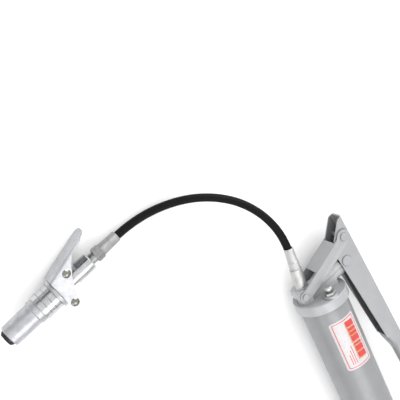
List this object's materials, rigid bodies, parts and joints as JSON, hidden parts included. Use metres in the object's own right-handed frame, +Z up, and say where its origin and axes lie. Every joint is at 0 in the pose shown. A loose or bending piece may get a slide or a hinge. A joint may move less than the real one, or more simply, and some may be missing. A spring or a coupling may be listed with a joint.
{
  "type": "lever grease gun",
  "caption": "Lever-operated cartridge grease gun lying on its side, with a flexible whip hose and a lock-on coupler worked by a thumb lever.",
  "frame": {"origin": "middle of the gun's footprint, without the hose, on the surface that it lies on", "axes": "+X along the barrel from the head to the tail, +Y from the barrel to the lever, +Z up, square to the plane that the lever swings in"},
  "size_m": [0.4681, 0.3995, 0.064],
  "materials": {
    "head_paint": "satin grey paint on cast metal",
    "sheet_paint": "satin grey paint on pressed steel",
    "barrel_paint": "satin grey paint on drawn steel tube",
    "zinc": "bright zinc plate",
    "bright_zinc": "bright blue-white zinc plate",
    "domed_steel": "polished steel rivet",
    "chrome": "bright plated",
    "steel": "ground steel",
    "spring_steel": "oiled spring steel",
    "blackened": "black oxide",
    "hose_rubber": "matt black rubber",
    "seal_rubber": "matt black rubber",
    "vinyl": "soft vinyl",
    "sticker": "printed film"
  },
  "bodies": {
    "gun": {"head_casting": "head_paint", "plunger_seal": "seal_rubber", "link_pins": "sheet_paint", "check_spring": "spring_steel", "outlet_adapter": "zinc", "bleeder_body": "zinc", "bleeder_spring": "spring_steel", "head_gasket": "seal_rubber", "barrel_tube": "barrel_paint", "tail_cap": "barrel_paint", "label": "sticker", "follower_spring": "spring_steel", "head_ferrule": "zinc", "hose": "hose_rubber", "coupler_ferrule": "zinc", "hose_hex": "zinc", "coupler_body": "chrome", "coupler_flange": "bright_zinc", "coupler_collar": "chrome", "coupler_sleeve": "bright_zinc", "coupler_spring": "spring_steel"},
    "link": {"link": "sheet_paint", "lever_pin": "sheet_paint"},
    "lever": {"lever": "sheet_paint", "lever_end_plug": "vinyl"},
    "plunger": {"plunger": "steel", "plunger_pin": "sheet_paint"},
    "follower": {"follower_rod": "steel", "rod_handle": "zinc", "follower_cup": "seal_rubber", "follower_washers": "steel", "follower_nut": "steel"},
    "bleeder_button": {"bleeder_stem": "chrome"},
    "check_ball": {"check_ball": "steel"},
    "thumb_lever": {"thumb_lever": "bright_zinc", "thumb_pins": "domed_steel"},
    "lock_jaws": {"coupler_jaws": "blackened", "coupler_seal": "seal_rubber"}
  },
  "joints": [
    {"name": "link_rock", "type": "hinge", "parent": "gun", "child": "link", "pos_m": [-0.1108, -0.04611, 0.032], "axis": [0, 0, 1], "range_deg": [0, 1]},
    {"name": "lever_open", "type": "hinge", "parent": "link", "child": "lever", "pos_m": [-0.1502, 0.02339, 0.032], "axis": [0, 0, 1], "range_deg": [0, 50]},
    {"name": "plunger_stroke", "type": "slide", "parent": "gun", "child": "plunger", "axis": [-0.2419, 0.9703, 0], "range_m": [0, 0.02366]},
    {"name": "follower_pull", "type": "slide", "parent": "gun", "child": "follower", "axis": [1, 0, 0], "range_m": [0, 0.195], "deforming": ["follower_spring"]},
    {"name": "bleeder_press", "type": "slide", "parent": "gun", "child": "bleeder_button", "axis": [1, 0, 0], "range_m": [0, 0.0015], "stiffness_N_per_m": 600, "springref_m": -0.001, "deforming": ["bleeder_spring"]},
    {"name": "check_lift", "type": "slide", "parent": "gun", "child": "check_ball", "axis": [-0.9962, 0.0872, 0], "range_m": [0, 0.001], "stiffness_N_per_m": 150, "springref_m": -0.001, "deforming": ["check_spring"]},
    {"name": "thumb_squeeze", "type": "hinge", "parent": "gun", "child": "thumb_lever", "pos_m": [-0.23513, -0.26629, 0.01638], "axis": [-0.0731, -0.1468, -0.9865], "range_deg": [0, 10], "stiffness_Nm_per_rad": 2, "springref_deg": -11.46},
    {"name": "jaw_slide", "type": "slide", "parent": "gun", "child": "lock_jaws", "axis": [0.2255, -0.9659, 0.127], "range_m": [0, 0.0025], "deforming": ["coupler_spring"]}
  ],
  "couplings": [
    {"joint": "link_rock", "follows": "lever_open", "ratio": 0.02},
    {"joint": "plunger_stroke", "follows": "lever_open", "m_per_rad": 0.02711},
    {"joint": "jaw_slide", "follows": "thumb_squeeze", "m_per_rad": 0.014324}
  ]
}
